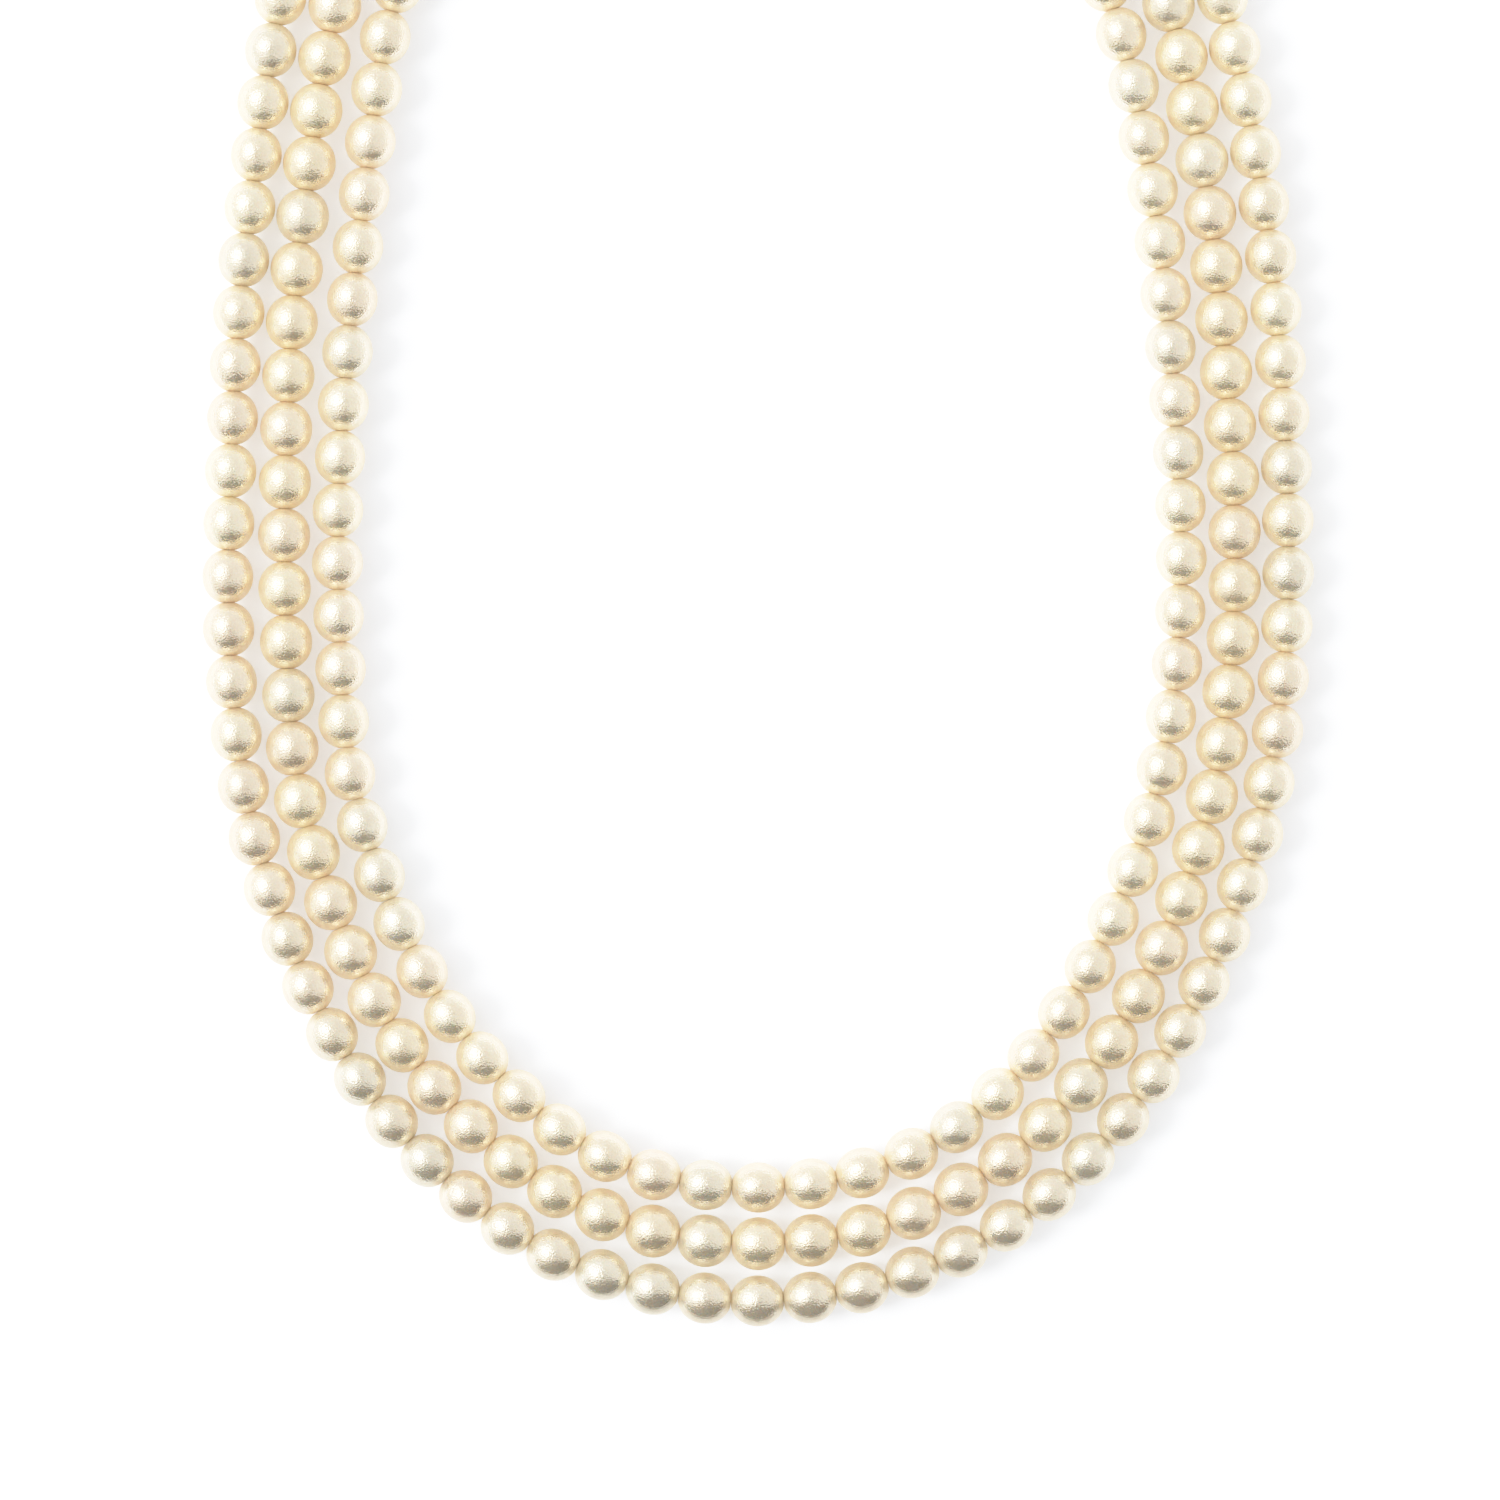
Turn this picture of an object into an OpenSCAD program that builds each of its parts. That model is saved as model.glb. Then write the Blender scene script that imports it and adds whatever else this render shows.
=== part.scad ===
// Three strand pearl necklace, closed and laid flat, in millimetres.
// Each strand is a row of drilled pearls on a thread of its own, the strands lie side
// by side, and their threads end in one clasp at the back. The necklace rests on its
// pearls at z = 0, with its front towards -Y, and the origin is under the middle of it.

/* [Pearls] */
// Diameter of the pearls on the outer strand
outer_pearl_d = 6; // [5:0.05:7.5]
// Diameter of the pearls on the middle strand
middle_pearl_d = 6.05; // [5:0.05:7.5]
// Diameter of the pearls on the inner strand, nearest the neck
inner_pearl_d = 6; // [5:0.05:7.5]
// Depth ground off each end of a pearl, round the mouth of its hole
end_flat = 0.05; // [0.03:0.01:0.15]
// Diameter of the hole through a pearl
bore_d = 0.8; // [0.6:0.05:1.4]

/* [Strands] */
// Diameter of the threads
thread_d = 0.4; // [0.2:0.05:0.5]
// Gap between two pearls of a strand, measured between their flat ends
pearl_gap = 0.22; // [0.18:0.02:0.8]
// Free gap between two strands round the back of the neck
back_gap = 0.6; // [0.2:0.1:2]

/* [Clasp] */
// Length of the clasp, along the strands
clasp_l = 12; // [10:0.5:24]
// Thickness of the clasp, which lies on the same surface as the pearls
clasp_t = 5.4; // [5:0.1:8]
// Width of the clasp beyond its outer thread holes, on each side
clasp_margin = 3; // [2.2:0.1:5]
// Radius of the clasp's corners, seen from above
clasp_corner_r = 2; // [1:0.1:2.4]
// Radius along the clasp's long edges
clasp_edge_r = 1.2; // [0.5:0.1:1.2]
// Depth of the clasp's thread holes
clasp_hole_l = 4; // [2:0.25:4.5]
// Length of thread that stays free in a hole's end
thread_end_gap = 0.3; // [0.1:0.1:1]
// Smallest length of bare thread between the clasp and a strand's first pearl
clasp_gap = 0.3; // [0.2:0.1:2]

/* [Hidden] */
$fn = 72;

// The strands, counted from the middle one outwards
INNER = -1;
MIDDLE = 0;
OUTER = 1;
STRANDS = [INNER, MIDDLE, OUTER];

// Sides of a thread, and steps of the smooth line between two points of its route
THREAD_SIDES = 8;
ROUTE_STEPS = 12;

// Route of the middle strand over the front, from the left shoulder to the right one.
// Columns: x, y, free gap to the inner strand, free gap to the outer strand
ROUTE = [
    [-49.5, 49.5, 0.4, 0.3],
    [-52, 33, 0.7, 0.2],
    [-54, 15, 0.7, 0.2],
    [-54.8, -4, 0.2, 0.3],
    [-54.7, -20, 0.15, 0.6],
    [-53.5, -38, 0.2, 0.15],
    [-49.7, -51.5, 0.4, 0.15],
    [-44, -64.2, 0.4, 0.2],
    [-36, -75.2, 0.4, 0.3],
    [-24.6, -85, 0.3, 0.5],
    [-12, -90.2, 0.3, 0.5],
    [1, -91.6, 0.5, 0.6],
    [14, -89.6, 0.4, 0.3],
    [26, -83.8, 0.3, 0.3],
    [36, -75, 0.4, 0.3],
    [43.5, -64, 0.5, 0.15],
    [49.1, -51.5, 0.4, 0.15],
    [53, -38, 0.3, 0.15],
    [55, -22, 0.2, 0.15],
    [55.1, -5, 0.15, 0.2],
    [53.9, 13, 0.15, 0.4],
    [51.9, 31, 0.15, 0.3],
    [48.1, 50, 0.15, 0.2]
];
INNER_GAP = 2;
OUTER_GAP = 3;

// The back of the necklace is round: its centre, its radius at the middle strand, and
// the angles of its points above the centre
BACK_CENTRE = [-1, 43];
BACK_R = 48.8;
BACK_ANGLES = [25, 45, 65];

function pearl_d(strand) =
    strand == OUTER ? outer_pearl_d : strand == MIDDLE ? middle_pearl_d : inner_pearl_d;
function pearl_l(strand) = pearl_d(strand) - 2 * end_flat;
function strand_z(strand) = pearl_d(strand) / 2;

// Distance of a strand's line outside the middle strand's line, over a free gap
function strand_offset(strand, gap) =
    strand * ((middle_pearl_d + pearl_d(strand)) / 2 + gap);

// A point of a strand over the front, square out from point i of the route
function route_point(i) = [ROUTE[i].x, ROUTE[i].y];
function front_point(strand, i) =
    let (
        run = route_point(min(i + 1, len(ROUTE) - 1)) - route_point(max(i - 1, 0)),
        out = [run.y, -run.x] / norm(run),
        gap = ROUTE[i][strand == OUTER ? OUTER_GAP : INNER_GAP]
    )
    route_point(i) + strand_offset(strand, gap) * out;

// A point of a strand round the back, at an angle from +X
function back_r(strand) = BACK_R + strand_offset(strand, back_gap);
function back_point(strand, angle) =
    BACK_CENTRE + back_r(strand) * [cos(angle), sin(angle)];
// The angle at which a strand meets the clasp's face
function end_angle(strand) = acos(clasp_l / 2 / back_r(strand));

// The points that a strand's line passes through, with one more past each end
function strand_points(strand) = [
    back_point(strand, 90),
    back_point(strand, 180 - end_angle(strand)),
    for (i = [len(BACK_ANGLES) - 1 : -1 : 0]) back_point(strand, 180 - BACK_ANGLES[i]),
    for (i = [0 : len(ROUTE) - 1]) front_point(strand, i),
    for (angle = BACK_ANGLES) back_point(strand, angle),
    back_point(strand, end_angle(strand)),
    back_point(strand, 90)
];

// A smooth line through points p, from the second to the last but one
function smooth_point(p, i, t) =
    p[i]
    + (p[i + 1] - p[i - 1]) * t / 2
    + (2 * p[i - 1] - 5 * p[i] + 4 * p[i + 1] - p[i + 2]) * t * t / 2
    + (3 * p[i] - p[i - 1] - 3 * p[i + 1] + p[i + 2]) * t * t * t / 2;
function smooth_line(p) = [
    for (i = [1 : len(p) - 3])
        for (step = [0 : ROUTE_STEPS - 1])
            smooth_point(p, i, step / ROUTE_STEPS),
    p[len(p) - 2]
];

// Distance of each point of a line from its start
function distances(p) = [
    for (i = 0, s = 0; i < len(p); s = s + norm(p[min(i + 1, len(p) - 1)] - p[i]), i = i + 1) s
];

// The places between the pearls of a strand, with one at each end. There are as many
// pearls as fit on the line, and what is left over stays bare beside the clasp
function find_knots(strand) =
    let (
        line = smooth_line(strand_points(strand)),
        s = distances(line),
        strand_l = s[len(s) - 1],
        pitch = pearl_l(strand) + pearl_gap,
        count = floor((strand_l - 2 * clasp_gap) / pitch),
        start = (strand_l - count * pitch) / 2,
        xs = [for (i = [0 : len(s) - 1]) [s[i], line[i].x]],
        ys = [for (i = [0 : len(s) - 1]) [s[i], line[i].y]]
    )
    [for (i = [0 : count]) [lookup(start + i * pitch, xs), lookup(start + i * pitch, ys)]];
KNOTS = [for (strand = STRANDS) find_knots(strand)];
function knots(strand) = KNOTS[strand - INNER];
function pearl_centres(strand) =
    let (k = knots(strand)) [for (i = [1 : len(k) - 1]) (k[i - 1] + k[i]) / 2];

// The clasp's place, and its width from the inner to the outer thread holes
function hole_y(strand) = back_point(strand, end_angle(strand)).y;
clasp_low = hole_y(INNER) - clasp_margin;
clasp_high = hole_y(OUTER) + clasp_margin;
clasp_w = clasp_high - clasp_low;

// The middle of the whole outline, which is set over the origin
outer_x = [for (c = pearl_centres(OUTER)) c.x];
outer_y = [for (c = pearl_centres(OUTER)) c.y];
low = [min(outer_x), min(outer_y)] - [1, 1] * outer_pearl_d / 2;
high = [max(outer_x) + outer_pearl_d / 2, max(max(outer_y) + outer_pearl_d / 2, clasp_high)];
MID = (low + high) / 2;

module placed() {
    translate([-MID.x, -MID.y, 0]) children();
}

// A round pearl, drilled along X and ground flat round the mouths of its hole
module pearl(strand) {
    rotate([0, 90, 0]) rotate_extrude() intersection() {
        circle(d = pearl_d(strand));
        translate([bore_d / 2, -pearl_l(strand) / 2])
            square([pearl_d(strand), pearl_l(strand)]);
    }
}

module pearls(strand) {
    k = knots(strand);
    centres = pearl_centres(strand);
    placed() for (i = [0 : len(centres) - 1]) {
        run = k[i + 1] - k[i];
        translate([centres[i].x, centres[i].y, strand_z(strand)])
            rotate(atan2(run.y, run.x)) pearl(strand);
    }
}

// A thread runs straight through each pearl, bends only between pearls, and ends in
// the clasp's holes
module thread(strand) {
    left_face = back_point(strand, 180 - end_angle(strand));
    right_face = back_point(strand, end_angle(strand));
    inside = [clasp_hole_l - thread_end_gap, 0];
    path = [left_face + inside, left_face, each knots(strand), right_face, right_face - inside];
    last = len(path) - 1;
    points = [
        for (i = [0 : last])
            let (run = path[min(i + 1, last)] - path[max(i - 1, 0)], side = [-run.y, run.x] / norm(run))
            for (j = [0 : THREAD_SIDES - 1])
                let (a = 360 * (j + 0.5) / THREAD_SIDES, out = thread_d / 2 * cos(a) * side)
                [path[i].x + out.x, path[i].y + out.y, strand_z(strand) + thread_d / 2 * sin(a)]
    ];
    sides = [
        for (i = [0 : last - 1])
            for (j = [0 : THREAD_SIDES - 1])
                let (a = i * THREAD_SIDES + j, b = i * THREAD_SIDES + (j + 1) % THREAD_SIDES)
                [a, b, b + THREAD_SIDES, a + THREAD_SIDES]
    ];
    first_end = [for (j = [THREAD_SIDES - 1 : -1 : 0]) j];
    last_end = [for (j = [0 : THREAD_SIDES - 1]) last * THREAD_SIDES + j];
    placed() polyhedron(points = points, faces = [each sides, first_end, last_end]);
}

module rounded_rectangle(size, r) {
    square([size.x - 2 * r, size.y], center = true);
    square([size.x, size.y - 2 * r], center = true);
    for (x = [-1, 1])
        for (y = [-1, 1])
            translate([x * (size.x / 2 - r), y * (size.y / 2 - r)]) circle(r);
}

// A plain rounded bar across the three strands
module clasp_bar() {
    intersection() {
        linear_extrude(clasp_t) rounded_rectangle([clasp_l, clasp_w], clasp_corner_r);
        translate([0, clasp_w / 2, clasp_t / 2]) rotate([90, 0, 0]) linear_extrude(clasp_w)
            rounded_rectangle([clasp_l, clasp_t], clasp_edge_r);
    }
}

module clasp_hole() {
    rotate([0, -90, 0]) cylinder(d = bore_d, h = clasp_hole_l);
}

module clasp() {
    color("goldenrod") placed() difference() {
        translate([BACK_CENTRE.x, (clasp_low + clasp_high) / 2, 0]) clasp_bar();
        for (strand = STRANDS)
            for (side = [0, 1])
                translate([BACK_CENTRE.x, hole_y(strand), strand_z(strand)])
                    mirror([side, 0, 0]) translate([clasp_l / 2, 0, 0]) clasp_hole();
    }
}

module pearls_outer() { color([0.84, 0.76, 0.6]) pearls(OUTER); }
module pearls_middle() { color([0.93, 0.84, 0.68]) pearls(MIDDLE); }
module pearls_inner() { color([0.95, 0.89, 0.77]) pearls(INNER); }
module thread_outer() { color("ivory") thread(OUTER); }
module thread_middle() { color("ivory") thread(MIDDLE); }
module thread_inner() { color("ivory") thread(INNER); }

pearls_outer();
pearls_middle();
pearls_inner();
thread_outer();
thread_middle();
thread_inner();
clasp();
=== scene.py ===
# %% [markdown]
# # A three strand pearl necklace, laid flat
# The real object is three rows of lacquered pearls, each on its own silk thread, which
# meet in one clasp at the back of the neck. It lies on a white table and is seen from
# straight above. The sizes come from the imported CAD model, which is loaded as a fixed
# frame, and this lesson makes the pearls' skin, the silk, the metal and the light.

import math
import random

import bmesh
import bpy
from mathutils import Matrix, Vector


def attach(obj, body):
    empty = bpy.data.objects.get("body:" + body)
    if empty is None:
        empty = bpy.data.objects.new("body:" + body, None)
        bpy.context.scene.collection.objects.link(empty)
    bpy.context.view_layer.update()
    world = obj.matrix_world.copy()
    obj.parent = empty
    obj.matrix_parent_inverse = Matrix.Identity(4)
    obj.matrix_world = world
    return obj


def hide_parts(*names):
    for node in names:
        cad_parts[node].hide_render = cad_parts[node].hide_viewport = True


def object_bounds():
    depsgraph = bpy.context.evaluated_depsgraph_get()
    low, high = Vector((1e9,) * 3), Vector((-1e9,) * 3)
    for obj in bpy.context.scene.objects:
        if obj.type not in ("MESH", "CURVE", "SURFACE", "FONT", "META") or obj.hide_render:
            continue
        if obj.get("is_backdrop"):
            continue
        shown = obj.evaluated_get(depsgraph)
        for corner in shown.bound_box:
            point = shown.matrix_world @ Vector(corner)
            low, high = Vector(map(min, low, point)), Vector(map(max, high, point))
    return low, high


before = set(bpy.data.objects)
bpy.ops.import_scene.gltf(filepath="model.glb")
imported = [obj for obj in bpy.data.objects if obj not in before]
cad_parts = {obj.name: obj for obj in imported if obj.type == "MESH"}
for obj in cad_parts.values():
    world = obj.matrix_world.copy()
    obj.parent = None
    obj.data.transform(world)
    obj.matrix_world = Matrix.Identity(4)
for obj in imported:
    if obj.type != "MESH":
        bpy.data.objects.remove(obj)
cad_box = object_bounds()
MM = 0.001
print("CAD nodes:", ", ".join(sorted(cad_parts)))

# %% [markdown]
# ## The line of each strand
# The silk bends only between two pearls. In the CAD model each thread is a tube with a
# ring of points at every bend, so the rings tell where everything is. Points that lie
# about a thread's width apart are one ring, and the rings come in order when they are
# sorted by their angle round the loop, starting at the clasp. The first two and the
# last two rings are at the clasp, and the others are the joints between pearls.

# %% Find the bends of each thread
STRANDS = ["outer", "middle", "inner"]
SAME_POINT = 0.0001 * MM
SAME_RING = 0.5 * MM
RINGS_AT_CLASP = 2


def angle_from_clasp(place):
    return math.atan2(place.x, -place.y)


def ring_centres(mesh):
    welded = bmesh.new()
    welded.from_mesh(mesh)
    bmesh.ops.remove_doubles(welded, verts=welded.verts, dist=SAME_POINT)
    rings = []
    for vert in welded.verts:
        near = [ring for ring in rings if (ring[0] - vert.co).length < SAME_RING]
        if near:
            near[0].append(vert.co.copy())
        else:
            rings.append([vert.co.copy()])
    welded.free()
    return sorted((sum(ring, Vector()) / len(ring) for ring in rings), key=angle_from_clasp)


thread_bends = {s: ring_centres(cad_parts["thread_" + s].data) for s in STRANDS}
joints = {strand: bends[RINGS_AT_CLASP:-RINGS_AT_CLASP]
          for strand, bends in thread_bends.items()}
pitch = {}
for strand, line in joints.items():
    pitch[strand] = (line[1] - line[0]).length
    print(strand, "strand:", len(line) - 1, "pearls, one every",
          round(pitch[strand] / MM, 3), "mm")

# %% [markdown]
# ## One pearl
# A pearl of this kind is a glass ball dipped in lacquer, a little longer along the
# thread than across it, and flat round its drilled hole, where it presses on its
# neighbour. Half an outline is drawn from one mouth of the hole to the other and closed
# along the hole, and a full spin turns it into a ring-shaped cage of 72 faces. Two
# subdivisions make it round. They also pull a cage inwards, by a share that is known
# from the angle between its points, so the cage is made larger by that share. The
# mouths are creased, because a drilled edge is crisp.

# %% Make the pearl's cage
PEARL_SIDES = 8
PEARL_BANDS = 6
SUBDIVISIONS = 2
BORE_R = 0.4 * MM
END_SWELL = 0.02 * MM
END_SET_BACK = 0.004 * MM
WELD = 0.001 * MM
MOUTH_MARGIN = 0.01 * MM


def shrink(angle):
    """Share of its radius that a ring of points this far apart keeps when subdivided."""
    return (2 + math.cos(angle)) / 3


def pearl_outline(across, long_axis, reach):
    """Half outline as (x, radius): egg-shaped, and cut flat at its reach on both ends."""
    end = reach - END_SET_BACK
    first = math.acos(end / (long_axis / 2))
    band = (math.pi - 2 * first) / PEARL_BANDS
    outline = [(end, BORE_R), (end + END_SWELL, across / 2 * math.sin(first))]
    for i in range(1, PEARL_BANDS):
        angle = first + i * band
        outline.append((long_axis / 2 * math.cos(angle) / shrink(band),
                        across / 2 * math.sin(angle) / shrink(band)))
    return outline + [(-x, r) for x, r in outline[1::-1]]


def pearl_cage(across, long_axis, reach):
    widen = 1 / shrink(2 * math.pi / PEARL_SIDES)
    cage = bmesh.new()
    line = [cage.verts.new((x, 0, r * widen))
            for x, r in pearl_outline(across, long_axis, reach)]
    edges = [cage.edges.new(pair) for pair in zip(line, line[1:] + line[:1])]
    bmesh.ops.spin(cage, geom=line + edges, cent=(0, 0, 0), axis=(1, 0, 0),
                   angle=2 * math.pi, steps=PEARL_SIDES, use_merge=True)
    bmesh.ops.remove_doubles(cage, verts=cage.verts, dist=WELD)
    bmesh.ops.recalc_face_normals(cage, faces=cage.faces)
    crease = cage.edges.layers.float.new("crease_edge")
    mouth_r = BORE_R * widen + MOUTH_MARGIN
    for edge in cage.edges:
        low, high = (vert.co for vert in edge.verts)
        at_mouth = max(low.yz.length, high.yz.length) < mouth_r
        if at_mouth and abs(low.x - high.x) < reach:
            edge[crease] = 1.0
    mesh = bpy.data.meshes.new("pearl_cage")
    cage.to_mesh(mesh)
    cage.free()
    return mesh


ACROSS = {"outer": 6.0 * MM, "middle": 6.15 * MM, "inner": 5.95 * MM}
LONG_AXIS = {"outer": 6.46 * MM, "middle": 6.56 * MM, "inner": 6.46 * MM}
cages = {s: pearl_cage(ACROSS[s], LONG_AXIS[s], pitch[s] / 2) for s in STRANDS}
print("faces in a pearl's cage:", len(cages["outer"].polygons))

# %% [markdown]
# ## Colour
# The lacquer was mixed in batches, so no two pearls have quite the same colour. The
# inner strand is the palest, the outer one turns to champagne towards the front, and a
# few pearls are greyer or pinker. A seeded random number chooses which, so that the
# same necklace comes out each time.

# %% Mix the colour of each pearl
LACQUER = {
    "outer": Vector((0.99, 0.85, 0.63)),
    "middle": Vector((0.98, 0.82, 0.58)),
    "inner": Vector((0.98, 0.84, 0.63)),
}
CHAMPAGNE = Vector((0.86, 0.77, 0.60))
CHAMPAGNE_SHARE = {"outer": 1.0, "middle": 0.35, "inner": 0.15}
CHAMPAGNE_STARTS_Y = 0.02
CHAMPAGNE_CURVE = 1.5
GREY_BATCH = Vector((0.84, 0.80, 0.65))
PINK_BATCH = Vector((0.97, 0.80, 0.62))
UP_TO_GREY = 0.12
UP_TO_PINK = 0.3
BATCH_MIX = 0.5
BRIGHTNESS = (0.96, 1.03)
front_y = cad_box[0][1]


def batch_colour(strand, place, rng):
    """Lacquer of one pearl: the strand's own, darker and greyer towards the front, and its
    batch.
    """
    # Turns darker and greyer, to champagne, towards the front of the table.
    towards_front = (CHAMPAGNE_STARTS_Y - place.y) / (CHAMPAGNE_STARTS_Y - front_y)
    front_share = CHAMPAGNE_SHARE[strand] * max(0, towards_front) ** CHAMPAGNE_CURVE
    colour = LACQUER[strand].lerp(CHAMPAGNE, min(1, front_share))
    draw = rng.random()
    if draw < UP_TO_GREY:
        colour = colour.lerp(GREY_BATCH, BATCH_MIX)
    elif draw < UP_TO_PINK:
        colour = colour.lerp(PINK_BATCH, BATCH_MIX)
    return colour * rng.uniform(*BRIGHTNESS)


print("shares of champagne at the front:", CHAMPAGNE_SHARE)

# %% [markdown]
# ## Stringing
# Every pearl is a copy of its strand's cage, turned so that its hole follows the
# thread, and set down on the table. Each gets its own small change of size, and keeps
# its colour as an attribute on its vertices. The whole strand is then rounded in one
# go, and the round mesh takes the cage's place, so that the strand's box is the box of
# what is seen.

# %% String the pearls
PEARL_SIZES = (0.985, 1.0)


def round_off(piece):
    """Subdivides a piece, and keeps the round mesh in place of its wider cage."""
    smooth = piece.modifiers.new("round", "SUBSURF")
    smooth.levels = smooth.render_levels = SUBDIVISIONS
    rounded = bpy.data.meshes.new_from_object(
        piece.evaluated_get(bpy.context.evaluated_depsgraph_get()))
    piece.modifiers.clear()
    piece.data = rounded


def string_pearls(strand, seed):
    rng = random.Random(seed)
    row = bmesh.new()
    tint = row.verts.layers.float_color.new("lacquer")
    line = joints[strand]
    for start, end in zip(line, line[1:]):
        place = (start + end) / 2
        row.from_mesh(cages[strand])
        row.verts.ensure_lookup_table()
        new = row.verts[-len(cages[strand].vertices):]
        turn = (end - start).to_track_quat("X", "Z").to_matrix().to_4x4()
        size = rng.uniform(*PEARL_SIZES)
        stretch = Matrix.Diagonal((1, size, size, 1))
        roll = Matrix.Rotation(rng.uniform(0, 2 * math.pi), 4, "X")
        seat = Matrix.Translation((place.x, place.y, size * ACROSS[strand] / 2))
        bmesh.ops.transform(row, matrix=seat @ turn @ stretch @ roll, verts=new)
        colour = batch_colour(strand, place, rng)
        for vert in new:
            vert[tint] = (*colour, 1)
    for face in row.faces:
        face.smooth = True
    mesh = bpy.data.meshes.new("pearl_row_" + strand)
    row.to_mesh(mesh)
    row.free()
    piece = bpy.data.objects.new("pearl_row_" + strand, mesh)
    bpy.context.scene.collection.objects.link(piece)
    round_off(piece)
    return piece


pearl_rows = {s: string_pearls(s, seed) for seed, s in enumerate(STRANDS, start=11)}
for strand, piece in pearl_rows.items():
    print(piece.name, "has", 2 * len(piece.data.polygons), "triangles")

# %% [markdown]
# ## Pearl lacquer
# Imitation pearl is many thin coats of clear lacquer full of tiny flat flakes, which
# lie level like fish scales. Together they mirror the room softly, as a warm metal
# would, and the last clear coat adds a sharper and weaker mirror on top. One Principled
# shader has both: a mostly metallic base with a cream colour, and a coat. The flakes
# are never perfectly level, so a fine noise tilts the surface, and wider clouds of it
# change how deep the colour is, and whether it leans to rose or to green. A pearl is a
# clear mirror in its middle and dull at its rim, where the flakes are seen edge-on.
# A faint glow is painted on as well: an emission that lifts the shade in the joints and at
# the rims, in place of light that seeps through the lacquer.

# %% Small helpers for node trees
def new_material(name):
    material = bpy.data.materials.new(name)
    material.use_nodes = True
    return material, material.node_tree


def add(tree, kind, **settings):
    """A new node, with its settings, and its input values under their socket names."""
    made = tree.nodes.new("ShaderNode" + kind)
    inputs = settings.pop("inputs", {})
    for key, value in settings.items():
        setattr(made, key, value)
    for key, value in inputs.items():
        made.inputs[key].default_value = value
    return made


def noise_on(tree, place, size, detail, roughness=0.5):
    """Noise whose blots are about size wide, in metres, on the piece's own place."""
    made = add(tree, "TexNoise", inputs={
        "Scale": 1 / size, "Detail": detail, "Roughness": roughness})
    tree.links.new(place, made.inputs["Vector"])
    return made.outputs["Fac"]


def spread(tree, factor, low, high):
    """Stretches the middle of a noise over the range from low to high."""
    made = add(tree, "MapRange", clamp=True, inputs={
        "From Min": 0.3, "From Max": 0.7, "To Min": low, "To Max": high})
    tree.links.new(factor, made.inputs["Value"])
    return made.outputs["Result"]


# %% Make the pearl lacquer
CLOUDS, MOTTLE, FLAKES = 1.6 * MM, 0.5 * MM, 0.2 * MM
ROSE, GREEN = (1.02, 0.98, 0.98, 1), (0.99, 1.01, 0.99, 1)
CLEAR_UP_TO, DULL_FROM = 0.16, 0.6
GLOSS = [("Roughness", 0.17, 0.6), ("Coat Roughness", 0.04, 0.45)]


def pearl_lacquer():
    material, tree = new_material("pearl_lacquer")
    link = tree.links.new
    shader = tree.nodes["Principled BSDF"]
    shader.inputs["Metallic"].default_value = 0.8
    shader.inputs["Specular Tint"].default_value = (0.84, 0.70, 0.49, 1)
    shader.inputs["Subsurface Weight"].default_value = 0.8
    shader.inputs["Subsurface Radius"].default_value = (1.0, 0.8, 0.55)
    shader.inputs["Subsurface Scale"].default_value = 2.0 * MM
    shader.inputs["Coat Weight"].default_value = 1.0
    shader.inputs["Coat IOR"].default_value = 2.0
    # Painted glow: a faint cream emission that lifts the shade in the joints and at the
    # rims.
    shader.inputs["Emission Color"].default_value = (1.0, 0.82, 0.57, 1)
    shader.inputs["Emission Strength"].default_value = 0.05
    place = add(tree, "TexCoord").outputs["Object"]
    lacquer = add(tree, "Attribute", attribute_name="lacquer").outputs["Color"]

    clouds = noise_on(tree, place, CLOUDS, 2)
    mottle = noise_on(tree, place, MOTTLE, 2)
    flakes = noise_on(tree, place, FLAKES, 1)
    depth = add(tree, "Math", operation="MULTIPLY")
    link(spread(tree, clouds, 0.96, 1.04), depth.inputs[0])
    link(spread(tree, flakes, 0.93, 1.05), depth.inputs[1])
    colour = add(tree, "VectorMath", operation="SCALE")
    link(lacquer, colour.inputs[0])
    link(depth.outputs[0], colour.inputs["Scale"])
    overtone = add(tree, "MixRGB", blend_type="MULTIPLY", inputs={"Fac": 1.0})
    link(colour.outputs[0], overtone.inputs[1])
    rose_green = add(tree, "MixRGB")
    rose_green.inputs[1].default_value = ROSE
    rose_green.inputs[2].default_value = GREEN
    link(spread(tree, mottle, 0, 1), rose_green.inputs[0])
    link(rose_green.outputs[0], overtone.inputs[2])
    link(overtone.outputs[0], shader.inputs["Base Color"])
    slant = add(tree, "LayerWeight", inputs={"Blend": 0.5}).outputs["Facing"]
    for socket, clear, dull in GLOSS:
        gloss = add(tree, "MapRange", interpolation_type="SMOOTHSTEP", inputs={
            "From Min": CLEAR_UP_TO, "From Max": DULL_FROM,
            "To Min": clear, "To Max": dull})
        link(slant, gloss.inputs["Value"])
        link(gloss.outputs["Result"], shader.inputs[socket])

    tilt = add(tree, "Bump", inputs={"Strength": 1.0, "Distance": 0.065 * MM})
    link(flakes, tilt.inputs["Height"])
    link(tilt.outputs["Normal"], shader.inputs["Normal"])
    link(tilt.outputs["Normal"], shader.inputs["Coat Normal"])
    return material


lacquer_material = pearl_lacquer()
for strand, piece in pearl_rows.items():
    piece.data.materials.append(lacquer_material)
    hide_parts("pearls_" + strand)
    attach(piece, "root")
print("lacquer on", len(pearl_rows), "strands")

# %% [markdown]
# ## The silk threads
# Each strand hangs on one silk thread of two plies, twisted together. It shows as a
# pale spot between two pearls and as a short bare length beside the clasp. The CAD tube
# already runs where the thread does, but it has eight flat sides. A small circle is
# pulled along the joints instead, and its twist is drawn by the material, from an
# attribute that tells each vertex how far along the thread it is and on which side.

# %% Pull a thread through each strand
THREAD_R = 0.2 * MM
THREAD_SIDES = 12


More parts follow.
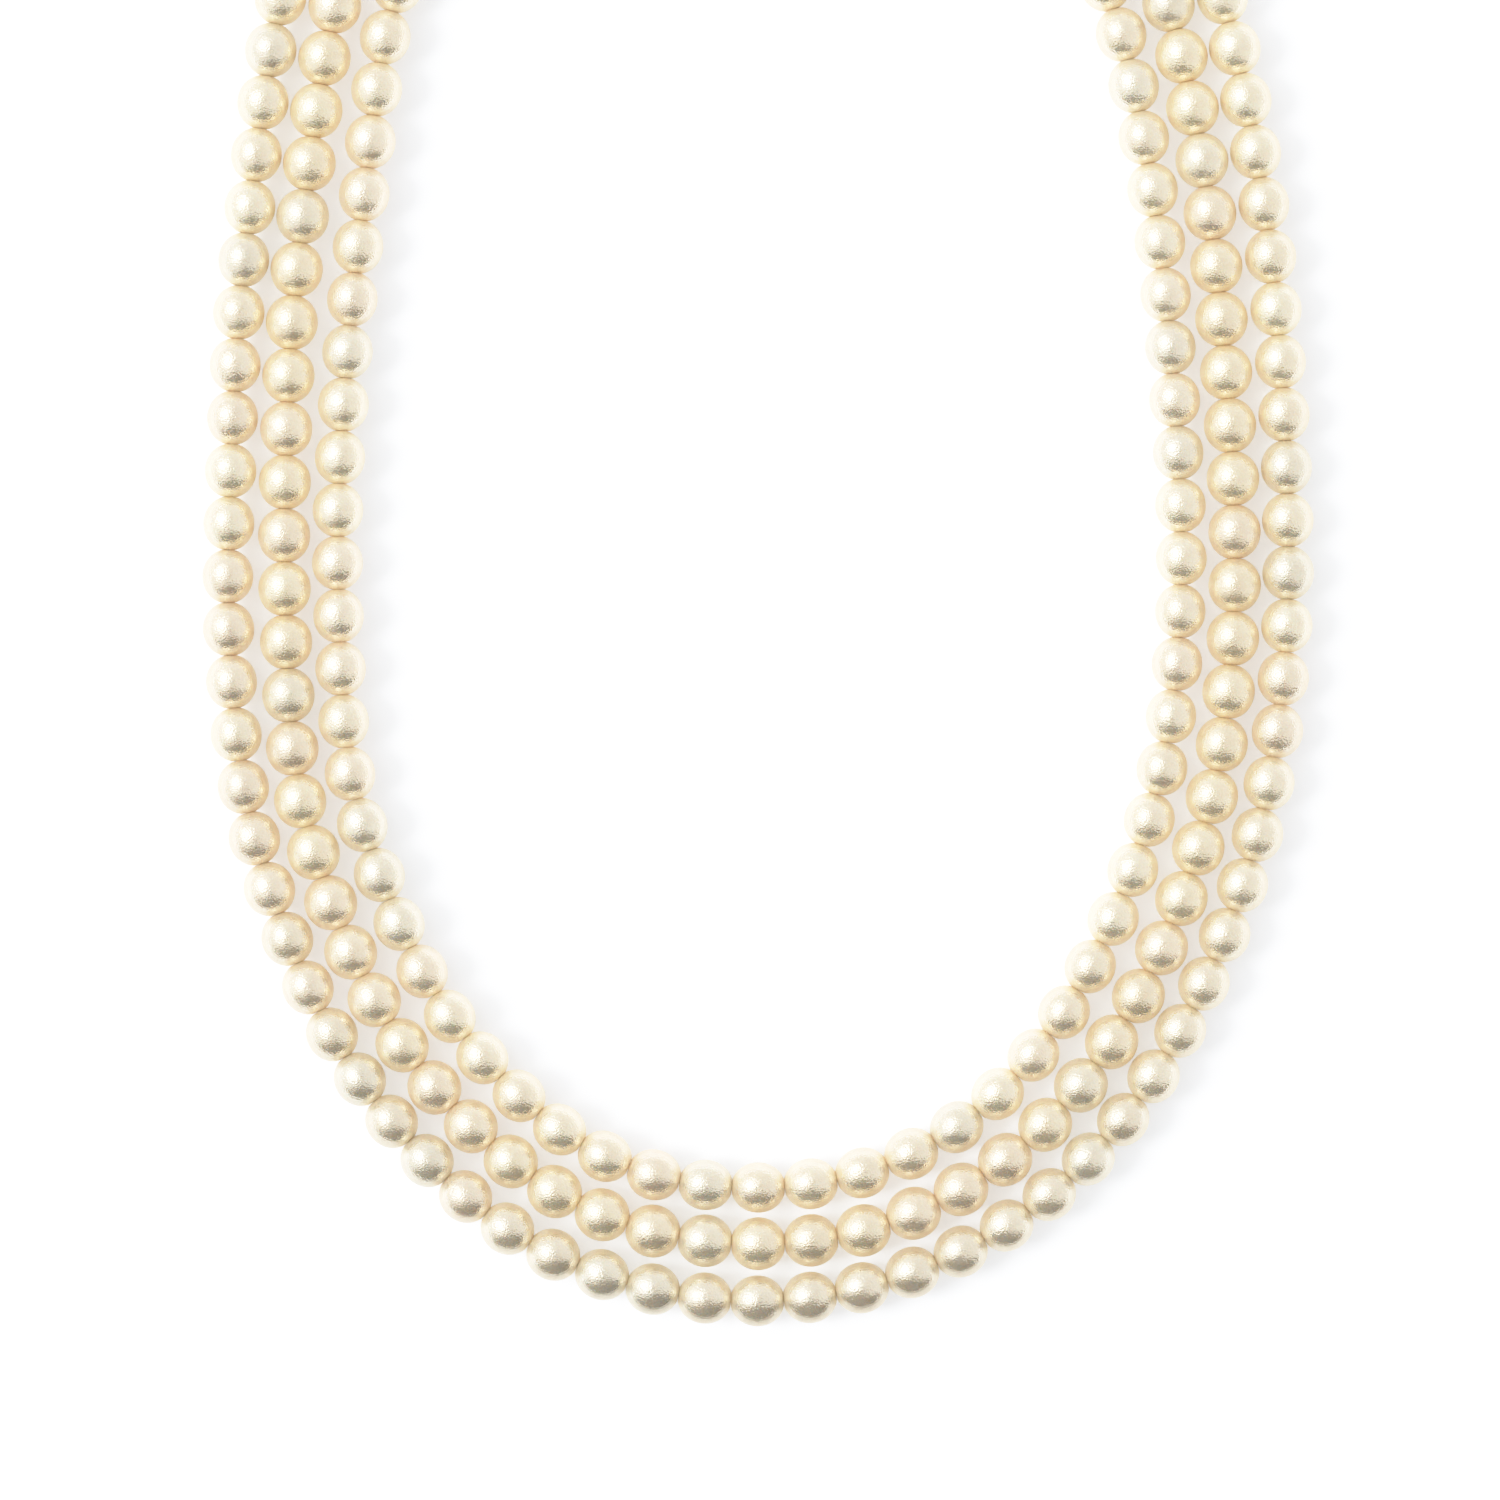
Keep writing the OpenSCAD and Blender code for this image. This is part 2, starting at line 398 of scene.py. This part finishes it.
def silk_thread(strand):
    """A tube through the bends, with its lay: (length in mm, cosine, sine of its side)."""
    bends = thread_bends[strand]
    tube = bmesh.new()
    lay = tube.verts.layers.float_vector.new("lay")
    bmesh.ops.create_circle(tube, cap_ends=True, segments=THREAD_SIDES, radius=THREAD_R)
    sides = [(vert.co.x / THREAD_R, vert.co.y / THREAD_R) for vert in tube.verts]
    ring = list(tube.verts)
    length = 0
    for i, bend in enumerate(bends):
        if i > 0:
            length += (bend - bends[i - 1]).length / MM
            end_face = next(face for face in ring[0].link_faces if len(face.verts) > 4)
            made = bmesh.ops.extrude_face_region(tube, geom=[end_face])
            bmesh.ops.delete(tube, geom=[end_face], context="FACES_ONLY")
            order = {vert: k for k, vert in enumerate(ring)}
            new_ring = [None] * len(ring)
            for vert in (v for v in made["geom"] if isinstance(v, bmesh.types.BMVert)):
                for edge in vert.link_edges:
                    if edge.other_vert(vert) in order:
                        new_ring[order[edge.other_vert(vert)]] = vert
            ring = new_ring
        before, after = bends[max(i - 1, 0)], bends[min(i + 1, len(bends) - 1)]
        run = (after - before).normalized()
        across = Vector((0, 0, 1)).cross(run)
        for vert, (a, b) in zip(ring, sides):
            vert.co = bend + THREAD_R * (a * across + b * Vector((0, 0, 1)))
            vert[lay] = (length, a, b)
    bmesh.ops.recalc_face_normals(tube, faces=tube.faces)
    for face in tube.faces:
        face.smooth = len(face.verts) == 4
    mesh = bpy.data.meshes.new("silk_" + strand)
    tube.to_mesh(mesh)
    tube.free()
    piece = bpy.data.objects.new("silk_" + strand, mesh)
    bpy.context.scene.collection.objects.link(piece)
    return piece


silk = {strand: silk_thread(strand) for strand in STRANDS}
print("faces in the outer silk:", len(silk["outer"].data.polygons))


# %% Twist the silk
LAY_MM = 1.1
PLIES = 2


def silk_material():
    material, tree = new_material("twisted_silk")
    link = tree.links.new
    shader = tree.nodes["Principled BSDF"]
    shader.inputs["Base Color"].default_value = (0.80, 0.74, 0.62, 1)
    shader.inputs["Roughness"].default_value = 0.55
    shader.inputs["Sheen Weight"].default_value = 0.3
    lay = add(tree, "SeparateXYZ")
    link(add(tree, "Attribute", attribute_name="lay").outputs["Vector"], lay.inputs[0])
    side = add(tree, "Math", operation="ARCTAN2")
    link(lay.outputs["Z"], side.inputs[0])
    link(lay.outputs["Y"], side.inputs[1])
    turn = add(tree, "Math", operation="MULTIPLY_ADD")
    turn.inputs[1].default_value = 2 * math.pi / LAY_MM
    link(lay.outputs["X"], turn.inputs[0])
    link(side.outputs[0], turn.inputs[2])
    ply = add(tree, "Math", operation="SINE")
    plies = add(tree, "Math", operation="MULTIPLY")
    plies.inputs[1].default_value = PLIES
    link(turn.outputs[0], plies.inputs[0])
    link(plies.outputs[0], ply.inputs[0])
    bump = add(tree, "Bump", inputs={"Strength": 0.8, "Distance": 0.05 * MM})
    link(ply.outputs[0], bump.inputs["Height"])
    link(bump.outputs["Normal"], shader.inputs["Normal"])
    return material


silk_skin = silk_material()
for strand, piece in silk.items():
    piece.data.materials.append(silk_skin)
    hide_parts("thread_" + strand)
    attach(piece, "root")
print("twisted silk on", len(silk), "threads")

# %% [markdown]
# ## The clasp
# At the back one plain gold-plated bar takes the ends of all three threads. Its shape
# is the CAD model's. The plate was brushed along the bar before it was polished, so
# fine lines are left that run from one side of the necklace to the other. They spread
# what the gold mirrors, and it stays gold even where it faces something dark.

# %% Plate the clasp
WEAR = 3 * MM
BRUSH_LINES = 0.12 * MM
BRUSH_STRETCH = (0.06, 1, 1)


def gold_plate():
    material, tree = new_material("gold_plate")
    link = tree.links.new
    shader = tree.nodes["Principled BSDF"]
    shader.inputs["Metallic"].default_value = 0.8
    place = add(tree, "TexCoord").outputs["Object"]
    wear = noise_on(tree, place, WEAR, 4)
    colour = add(tree, "MixRGB")
    colour.inputs[1].default_value = (0.88, 0.64, 0.28, 1)
    colour.inputs[2].default_value = (0.84, 0.59, 0.24, 1)
    link(wear, colour.inputs[0])
    link(colour.outputs[0], shader.inputs["Base Color"])
    link(spread(tree, wear, 0.42, 0.48), shader.inputs["Roughness"])
    shader.inputs["Coat Weight"].default_value = 0.35
    shader.inputs["Coat Roughness"].default_value = 0.12
    along = add(tree, "VectorMath", operation="MULTIPLY")
    along.inputs[1].default_value = BRUSH_STRETCH
    link(place, along.inputs[0])
    brushed = noise_on(tree, along.outputs[0], BRUSH_LINES, 3)
    bump = add(tree, "Bump", inputs={"Strength": 0.5, "Distance": 0.02 * MM})
    link(brushed, bump.inputs["Height"])
    link(bump.outputs["Normal"], shader.inputs["Normal"])
    return material


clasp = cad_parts["clasp"]
gold = gold_plate()
for entry in clasp.material_slots:
    entry.material = gold
print("gold plate on", clasp.name)

# %% [markdown]
# ## The table
# The necklace lies on a white table that is lit so strongly, from above and from
# below, that it turns plain white in the picture, apart from soft grey shadows beside
# and between the strands.

# %% Make the table
TABLE_HALF = 1.5
TABLE_GLOW = 0.37


def make_table():
    sheet = bmesh.new()
    bmesh.ops.create_grid(sheet, x_segments=1, y_segments=1, size=TABLE_HALF)
    mesh = bpy.data.meshes.new("table")
    sheet.to_mesh(mesh)
    sheet.free()
    table = bpy.data.objects.new("table", mesh)
    bpy.context.scene.collection.objects.link(table)
    material, tree = new_material("white_table")
    shader = tree.nodes["Principled BSDF"]
    shader.inputs["Base Color"].default_value = (0.79, 0.81, 0.85, 1)
    shader.inputs["Roughness"].default_value = 0.6
    shader.inputs["Emission Color"].default_value = (0.93, 0.955, 0.98, 1)
    shader.inputs["Emission Strength"].default_value = TABLE_GLOW
    mesh.materials.append(material)
    table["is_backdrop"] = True
    return table


table = make_table()
print("table", round(table.dimensions.x, 2), "m wide")

# %% [markdown]
# ## The camera
# It hangs 0.8 m above the table and looks straight down. One pixel of the photograph is
# 0.1158 mm on the pearls' middle plane, which fixes the lens, and the place of the
# model's origin in the picture fixes where the camera hangs.

# %% Hang the camera
PHOTO_W = 1500
PIXEL = 0.1158 * MM
ORIGIN_PX = (758, 453.5)
PEARL_Z = 3 * MM
CAMERA_H = 0.8
SENSOR = 36.0

lens = bpy.data.cameras.new("camera")
camera = bpy.data.objects.new("camera", lens)
bpy.context.scene.collection.objects.link(camera)
camera.location = ((PHOTO_W / 2 - ORIGIN_PX[0]) * PIXEL,
                   (ORIGIN_PX[1] - PHOTO_W / 2) * PIXEL, CAMERA_H)
lens.sensor_width = SENSOR
lens.lens = SENSOR * (CAMERA_H - PEARL_Z) / (PHOTO_W * PIXEL)
lens.clip_start = 0.01
bpy.context.scene.camera = camera
print("lens", round(lens.lens, 1), "mm, camera at",
      [round(v, 4) for v in camera.location])

# %% [markdown]
# ## The light
# A pearl is a round mirror, so nearly all of its look is the room that it shows. Here
# the room is white on every side, a little brighter at the level of the table, and a
# broad glow up on the left makes the white spot on each pearl. The camera itself sees a
# plain white world.

# %% Light the room
GLOW_FROM = Vector((-0.5, 0.25, 0.83)).normalized()
GLOW_FOCUS = 18
GLOW_SHARE = 1.75
ROOM = [(0.0, 0.6), (0.12, 0.56), (0.3, 0.48), (0.75, 0.41), (1.0, 0.35)]
POWER = 2.5
PLAIN_WHITE = 2.4


def light_room():
    world = bpy.data.worlds.new("white_room")
    bpy.context.scene.world = world
    world.use_nodes = True
    tree = world.node_tree
    tree.nodes.clear()
    link = tree.links.new
    direction = add(tree, "TexCoord").outputs["Generated"]
    height = add(tree, "SeparateXYZ")
    link(direction, height.inputs[0])
    room = add(tree, "ValToRGB")
    stops = room.color_ramp.elements
    stops[0].color = (ROOM[0][1],) * 3 + (1,)
    stops[1].color = (ROOM[-1][1],) * 3 + (1,)
    for place, level in ROOM[1:-1]:
        stops.new(place).color = (level, level, level, 1)
    link(height.outputs["Z"], room.inputs["Fac"])
    towards = add(tree, "VectorMath", operation="DOT_PRODUCT")
    towards.inputs[1].default_value = GLOW_FROM
    link(direction, towards.inputs[0])
    in_front = add(tree, "Math", operation="MAXIMUM")
    in_front.inputs[1].default_value = 0
    link(towards.outputs["Value"], in_front.inputs[0])
    lamp = add(tree, "Math", operation="POWER")
    lamp.inputs[1].default_value = GLOW_FOCUS
    link(in_front.outputs[0], lamp.inputs[0])
    both = add(tree, "Math", operation="MULTIPLY_ADD")
    both.inputs[1].default_value = GLOW_SHARE
    link(lamp.outputs[0], both.inputs[0])
    link(room.outputs["Color"], both.inputs[2])
    power = add(tree, "Math", operation="MULTIPLY")
    power.inputs[1].default_value = POWER
    link(both.outputs[0], power.inputs[0])
    lit = add(tree, "Background")
    link(power.outputs[0], lit.inputs["Strength"])
    plain = add(tree, "Background", inputs={
        "Strength": PLAIN_WHITE, "Color": (1, 1, 1, 1)})
    mix = add(tree, "MixShader")
    link(add(tree, "LightPath").outputs["Is Camera Ray"], mix.inputs["Fac"])
    link(lit.outputs[0], mix.inputs[1])
    link(plain.outputs[0], mix.inputs[2])
    link(mix.outputs[0], add(tree, "OutputWorld").inputs["Surface"])


light_room()
print("glow", round(math.degrees(math.asin(GLOW_FROM.z))), "degrees above the table")

# %% [markdown]
# The strands also throw a soft shadow to their right, as long as they are high, so a
# large lamp stands on the left at about 45 degrees. No mirror sees it, because the
# room's glow already makes the pearls' white spots.

# %% Hang the side lamp
SIDE_ENERGY = 2.6
SIDE_ANGLE = math.radians(26)
TOWARDS_SIDE_LAMP = Vector((-0.72, -0.05, 0.69))

side_light = bpy.data.lights.new("side_lamp", "SUN")
side_light.energy = SIDE_ENERGY
side_light.angle = SIDE_ANGLE
side_lamp = bpy.data.objects.new("side_lamp", side_light)
bpy.context.scene.collection.objects.link(side_lamp)
side_lamp.location = (-0.4, 0, 0.4)
side_lamp.rotation_euler = TOWARDS_SIDE_LAMP.to_track_quat("Z", "Y").to_euler()
side_lamp.visible_glossy = False
print("side lamp of", SIDE_ENERGY, "W per square metre")

# %% [markdown]
# ## What the pearls mirror
# Every pearl shows the same dark patch, wide at its foot and pointed towards the
# pearl's middle: that is where something dark stands at the front of the table and
# leans over it. Three dark cards stand in for it, a low one near the front pearls, a
# high one further off for the pearls at the back, and a small round one above the
# camera. Only mirrors see them: they don't show in the picture, and take no light from
# the table. They stage the picture and aren't pieces of the necklace.

# %% Stand up the dark cards
NEAR_CARD = [(0.065, -0.112, 0.0), (0.055, -0.112, 0.012), (0.03, -0.112, 0.022),
             (0.014, -0.112, 0.034), (0.008, -0.112, 0.08)]
FAR_CARD = [(0.55, -0.3, 0.0), (0.42, -0.3, 0.1), (0.29, -0.29, 0.2),
            (0.12, -0.27, 0.32), (0.045, -0.23, 0.43)]
NEAR_MIDDLE, FAR_MIDDLE = 0.01, 0.03
ROUND_CARD_R = 0.11
ROUND_CARD_AT = (0, -0.034, 0.83)


def dark_skin():
    material, tree = new_material("dark_card")
    shader = tree.nodes["Principled BSDF"]
    shader.inputs["Base Color"].default_value = (0.04, 0.037, 0.032, 1)
    shader.inputs["Roughness"].default_value = 0.9
    return material


def stand_up(name, card, material):
    mesh = bpy.data.meshes.new(name)
    card.to_mesh(mesh)
    card.free()
    mesh.materials.append(material)
    piece = bpy.data.objects.new(name, mesh)
    bpy.context.scene.collection.objects.link(piece)
    piece.visible_camera = False
    piece.visible_diffuse = False
    piece.visible_shadow = False
    piece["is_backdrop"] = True


def cut_card(rows, middle):
    """A sheet through rows of (half width, y, z), from its foot to its top."""
    card = bmesh.new()
    bmesh.ops.create_grid(card, x_segments=1, y_segments=len(rows) - 1, size=1)
    for vert in card.verts:
        half, y, z = rows[round((vert.co.y + 1) / 2 * (len(rows) - 1))]
        vert.co = (middle + half * vert.co.x, y, z)
    return card


dark = dark_skin()
stand_up("near_card", cut_card(NEAR_CARD, NEAR_MIDDLE), dark)
stand_up("far_card", cut_card(FAR_CARD, FAR_MIDDLE), dark)
round_card = bmesh.new()
bmesh.ops.create_circle(round_card, cap_ends=True, segments=24, radius=ROUND_CARD_R,
                        matrix=Matrix.Translation(ROUND_CARD_AT))
stand_up("round_card", round_card, dark)
print("dark cards at the front:", FAR_CARD[-1][2], "m high the taller one")

# %% [markdown]
# ## The print
# The photograph is bright and soft in its whites: they run out slowly and turn plain
# white only at one and a half times the brightness of a white sheet. A curve that
# bends over at the top does the same, and leaves the darker half as it is.

# %% Set the picture's curve
WHITE = 1.55
SHOULDER = [(0.3, 0.3), (0.6, 0.585), (0.8, 0.745), (1.0, 0.86), (1.2, 0.93), (1.4, 0.98)]
view = bpy.context.scene.view_settings
view.view_transform = "Standard"
view.use_curve_mapping = True
view.curve_mapping.white_level = (WHITE, WHITE, WHITE)
curve = view.curve_mapping.curves[3]
for brightness, shown in SHOULDER:
    curve.points.new(brightness / WHITE, shown)
view.curve_mapping.update()
print("the curve has", len(curve.points), "points")

# %% [markdown]
# ## The finished size
# The boxes of the CAD model and of the dressed necklace are printed side by side. The
# dressed necklace has to fill the same box as the CAD model.

# %% Measure and finish
dressed_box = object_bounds()
for name, box in [("CAD", cad_box), ("dressed", dressed_box)]:
    print(name, [round((high - low) / MM, 2) for low, high in zip(*box)], "mm")
